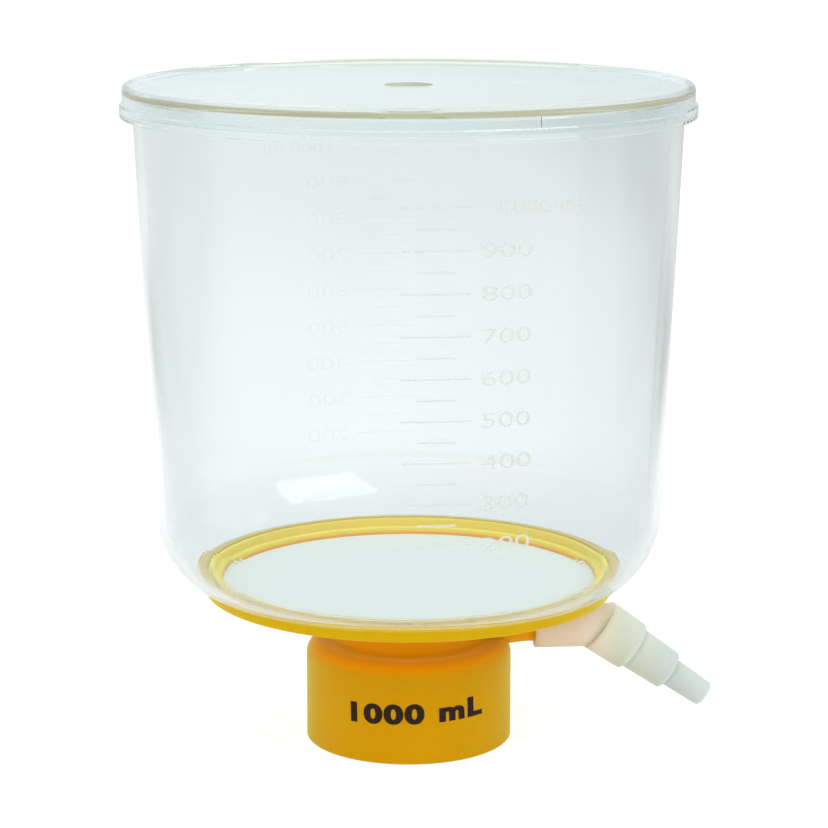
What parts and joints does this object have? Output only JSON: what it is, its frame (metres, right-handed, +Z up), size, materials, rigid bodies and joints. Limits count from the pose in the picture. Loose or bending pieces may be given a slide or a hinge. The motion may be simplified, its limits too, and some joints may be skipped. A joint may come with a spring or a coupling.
{
  "type": "bottle-top vacuum filter",
  "caption": "Clear graduated funnel with a loose lid on a moulded base that carries a membrane, a threaded bottle collar and a side nipple with a turning stepped hose adapter.",
  "frame": {"origin": "centre of the mouth of the bottle collar, in the plane of the collar's bottom ring", "axes": "+Z up along the funnel's axis, +X along the vacuum nipple, +Y away from the side with the front graduations"},
  "size_m": [0.1397, 0.1328, 0.1569],
  "materials": {
    "clear_plastic": "clear polystyrene, polished",
    "membrane_white": "matt white microporous sheet",
    "yellow_plastic": "golden yellow moulding, satin",
    "seal_rubber": "soft white seal",
    "natural_plastic": "natural translucent polyethylene"
  },
  "bodies": {
    "filter": {"lid": "clear_plastic", "funnel": "clear_plastic", "membrane": "membrane_white", "base": "yellow_plastic", "neck_gasket": "seal_rubber"},
    "adapter": {"hose_adapter": "natural_plastic"}
  },
  "joints": [
    {"name": "adapter_swivel", "type": "hinge", "parent": "filter", "child": "adapter", "pos_m": [0.0465, 0, 0.026], "axis": [1, 0, 0], "continuous": true}
  ]
}
